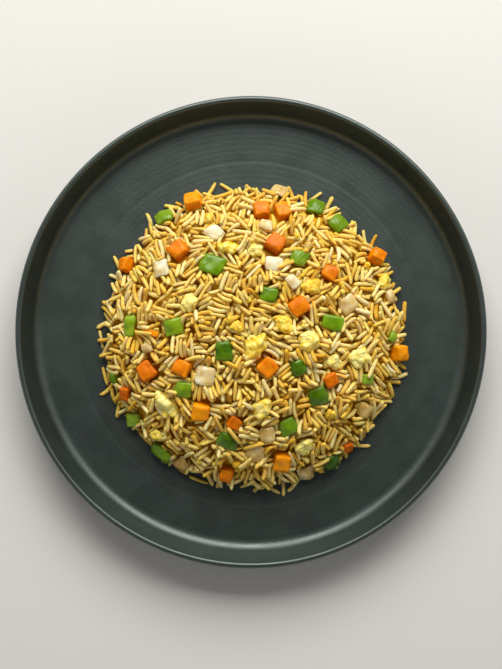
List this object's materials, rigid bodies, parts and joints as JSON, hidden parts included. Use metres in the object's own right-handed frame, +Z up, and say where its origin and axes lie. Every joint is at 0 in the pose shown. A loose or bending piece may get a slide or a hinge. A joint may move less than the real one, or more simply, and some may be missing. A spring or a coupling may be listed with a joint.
{
  "type": "fried rice plate",
  "caption": "Dark stoneware plate with a low upright rim, heaped with fried rice, diced carrot, green pepper, onion and scrambled egg.",
  "frame": {"origin": "centre of the plate, on the surface that its foot ring stands on", "axes": "+Z up, +X to the right and +Y to the far side of the plate as seen from straight above"},
  "size_m": [0.2698, 0.2698, 0.0439],
  "materials": {
    "stoneware": "dark charcoal stoneware glaze, satin, with faint throwing rings",
    "rice": "cooked long grains, golden tan, lightly oily",
    "carrot": "diced cooked carrot, bright orange, moist",
    "pepper": "green pepper pieces, glossy skin and paler cut flesh",
    "onion": "softened onion, translucent white to tan, with fine lines",
    "egg": "scrambled egg, pale yellow with whiter folds"
  },
  "bodies": {
    "root": {"plate": "stoneware", "rice_mound": "rice", "carrot_01": "carrot", "carrot_02": "carrot", "carrot_03": "carrot", "carrot_04": "carrot", "carrot_05": "carrot", "carrot_06": "carrot", "carrot_07": "carrot", "carrot_08": "carrot", "carrot_09": "carrot", "carrot_10": "carrot", "carrot_11": "carrot", "carrot_12": "carrot", "carrot_13": "carrot", "carrot_14": "carrot", "carrot_15": "carrot", "carrot_16": "carrot", "carrot_17": "carrot", "pepper_01": "pepper", "pepper_02": "pepper", "pepper_03": "pepper", "pepper_04": "pepper", "pepper_05": "pepper", "pepper_06": "pepper", "pepper_07": "pepper", "pepper_08": "pepper", "pepper_09": "pepper", "pepper_10": "pepper", "pepper_11": "pepper", "pepper_12": "pepper", "pepper_13": "pepper", "pepper_14": "pepper", "pepper_15": "pepper", "pepper_16": "pepper", "pepper_17": "pepper", "pepper_18": "pepper", "onion_01": "onion", "onion_02": "onion", "onion_03": "onion", "onion_04": "onion", "onion_05": "onion", "onion_06": "onion", "onion_07": "onion", "onion_08": "onion", "onion_09": "onion", "onion_10": "onion", "onion_11": "onion", "egg_01": "egg", "egg_02": "egg", "egg_03": "egg", "egg_04": "egg", "egg_05": "egg", "egg_06": "egg", "egg_07": "egg", "egg_08": "egg", "egg_09": "egg", "egg_10": "egg", "egg_11": "egg", "egg_12": "egg"}
  },
  "joints": []
}
